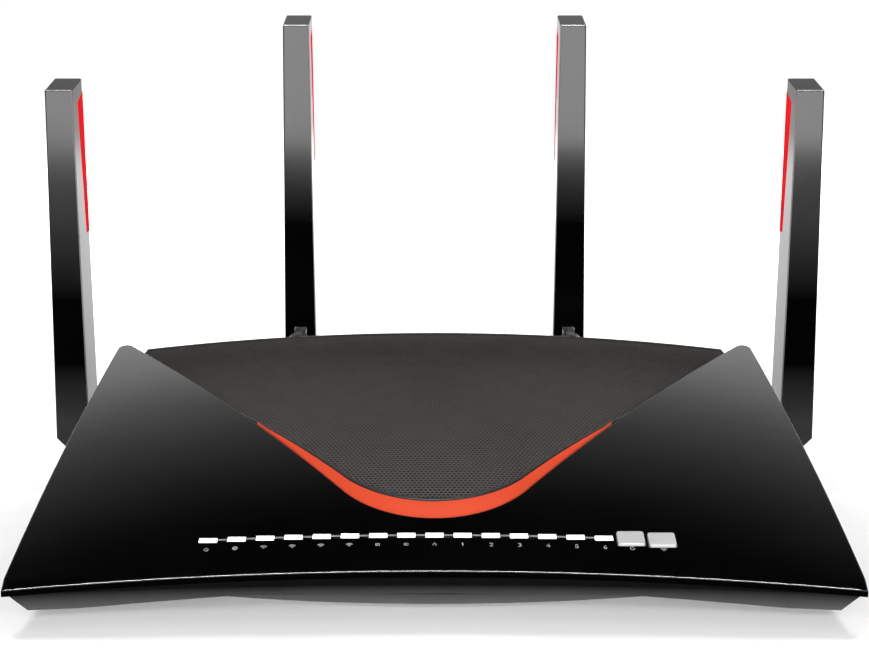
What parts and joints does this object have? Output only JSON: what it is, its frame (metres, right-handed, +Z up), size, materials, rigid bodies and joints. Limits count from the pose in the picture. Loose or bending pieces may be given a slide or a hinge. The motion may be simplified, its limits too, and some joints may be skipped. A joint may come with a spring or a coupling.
{
  "type": "wireless router",
  "caption": "Low wedge-shaped wireless router with a sloping gloss cover, a domed grille, hinged swivelling antennas, push buttons and rear network sockets.",
  "frame": {"origin": "on the table, under the middle of the whole router with its antennas upright", "axes": "+X to the right seen from the front, +Y to the back where the sockets are, +Z up"},
  "size_m": [0.3788, 0.275, 0.2264],
  "materials": {
    "housing_black": "satin black",
    "cover_gloss": "polished black",
    "accent_orange": "semi gloss",
    "accent_red": "semi gloss",
    "grille_dark": "fine perforated",
    "antenna_black": "polished black",
    "light_white": "translucent",
    "button_grey": "translucent",
    "board_green": "solder mask",
    "pad_grey": "soft",
    "aluminium": "milled",
    "steel": "plated",
    "brass": "gold plated",
    "jack_black": "moulded",
    "rubber": "matt"
  },
  "bodies": {
    "housing": {"lower_housing": "housing_black", "upper_housing": "housing_black", "rear_panel": "housing_black", "top_cover": "cover_gloss", "accent_lip": "accent_orange", "grille": "grille_dark", "light_guide": "light_white", "status_lights": "light_white", "light_board": "board_green", "front_switches": "housing_black", "main_board": "board_green", "shield_cans": "steel", "thermal_pads": "pad_grey", "heat_sink": "aluminium", "fan_frame": "housing_black", "lan_jack_1": "jack_black", "lan_jack_2": "jack_black", "lan_jack_3": "jack_black", "lan_jack_4": "jack_black", "lan_jack_5": "jack_black", "lan_jack_6": "jack_black", "wan_jack": "jack_black", "sfp_cage": "steel", "usb_port_1": "steel", "usb_port_2": "steel", "dc_jack": "housing_black", "rear_switches": "housing_black", "rubber_feet": "rubber", "housing_screws": "steel", "board_screws": "steel", "side_right_connector": "brass", "side_left_connector": "brass", "rear_right_connector": "brass", "rear_left_connector": "brass"},
    "fan_rotor": {"fan_rotor": "housing_black"},
    "wps_button": {"wps_button": "button_grey"},
    "wifi_button": {"wifi_button": "button_grey"},
    "power_button": {"power_button": "housing_black"},
    "reset_button": {"reset_button": "housing_black"},
    "light_switch_lever": {"light_switch_lever": "housing_black"},
    "side_right_swivel": {"side_right_knuckle": "antenna_black", "side_right_hinge_pin": "steel"},
    "side_right_antenna": {"side_right_blade": "antenna_black", "side_right_accent": "accent_red"},
    "side_left_swivel": {"side_left_knuckle": "antenna_black", "side_left_hinge_pin": "steel"},
    "side_left_antenna": {"side_left_blade": "antenna_black", "side_left_accent": "accent_red"},
    "rear_right_swivel": {"rear_right_knuckle": "antenna_black", "rear_right_hinge_pin": "steel"},
    "rear_right_antenna": {"rear_right_blade": "antenna_black", "rear_right_accent": "accent_red"},
    "rear_left_swivel": {"rear_left_knuckle": "antenna_black", "rear_left_hinge_pin": "steel"},
    "rear_left_antenna": {"rear_left_blade": "antenna_black", "rear_left_accent": "accent_red"}
  },
  "joints": [
    {"name": "side_right_swivel", "type": "hinge", "parent": "housing", "child": "side_right_swivel", "pos_m": [0.181, 0.0735, 0.025], "axis": [1, 0, 0], "range_deg": [-90, 90]},
    {"name": "side_right_tilt", "type": "hinge", "parent": "side_right_swivel", "child": "side_right_antenna", "pos_m": [0.181, 0.0735, 0.025], "axis": [0, 1, 0], "range_deg": [0, 90]},
    {"name": "side_left_swivel", "type": "hinge", "parent": "housing", "child": "side_left_swivel", "pos_m": [-0.181, 0.0735, 0.025], "axis": [1, 0, 0], "range_deg": [-90, 90]},
    {"name": "side_left_tilt", "type": "hinge", "parent": "side_left_swivel", "child": "side_left_antenna", "pos_m": [-0.181, 0.0735, 0.025], "axis": [0, -1, 0], "range_deg": [0, 90]},
    {"name": "rear_right_swivel", "type": "hinge", "parent": "housing", "child": "rear_right_swivel", "pos_m": [0.071, 0.126, 0.0566], "axis": [0, 1, 0], "range_deg": [-45, 90]},
    {"name": "rear_right_tilt", "type": "hinge", "parent": "rear_right_swivel", "child": "rear_right_antenna", "pos_m": [0.071, 0.126, 0.0566], "axis": [-1, 0, 0], "range_deg": [0, 90]},
    {"name": "rear_left_swivel", "type": "hinge", "parent": "housing", "child": "rear_left_swivel", "pos_m": [-0.071, 0.126, 0.0566], "axis": [0, 1, 0], "range_deg": [-90, 45]},
    {"name": "rear_left_tilt", "type": "hinge", "parent": "rear_left_swivel", "child": "rear_left_antenna", "pos_m": [-0.071, 0.126, 0.0566], "axis": [-1, 0, 0], "range_deg": [0, 90]},
    {"name": "wps_button_press", "type": "slide", "parent": "housing", "child": "wps_button", "axis": [0, 0.3206, -0.9472], "range_m": [0, 0.0004], "stiffness_N_per_m": 1000},
    {"name": "wifi_button_press", "type": "slide", "parent": "housing", "child": "wifi_button", "axis": [0, 0.3206, -0.9472], "range_m": [0, 0.0004], "stiffness_N_per_m": 1000},
    {"name": "power_button_press", "type": "slide", "parent": "housing", "child": "power_button", "axis": [0, -1, 0], "range_m": [0, 0.001], "stiffness_N_per_m": 1000},
    {"name": "reset_button_press", "type": "slide", "parent": "housing", "child": "reset_button", "axis": [0, -1, 0], "range_m": [0, 0.0004], "stiffness_N_per_m": 1000},
    {"name": "light_switch_slide", "type": "slide", "parent": "housing", "child": "light_switch_lever", "axis": [1, 0, 0], "range_m": [0, 0.003]},
    {"name": "fan_spin", "type": "hinge", "parent": "housing", "child": "fan_rotor", "pos_m": [0, 0.0025, 0.035], "axis": [0, 0, 1], "continuous": true}
  ]
}
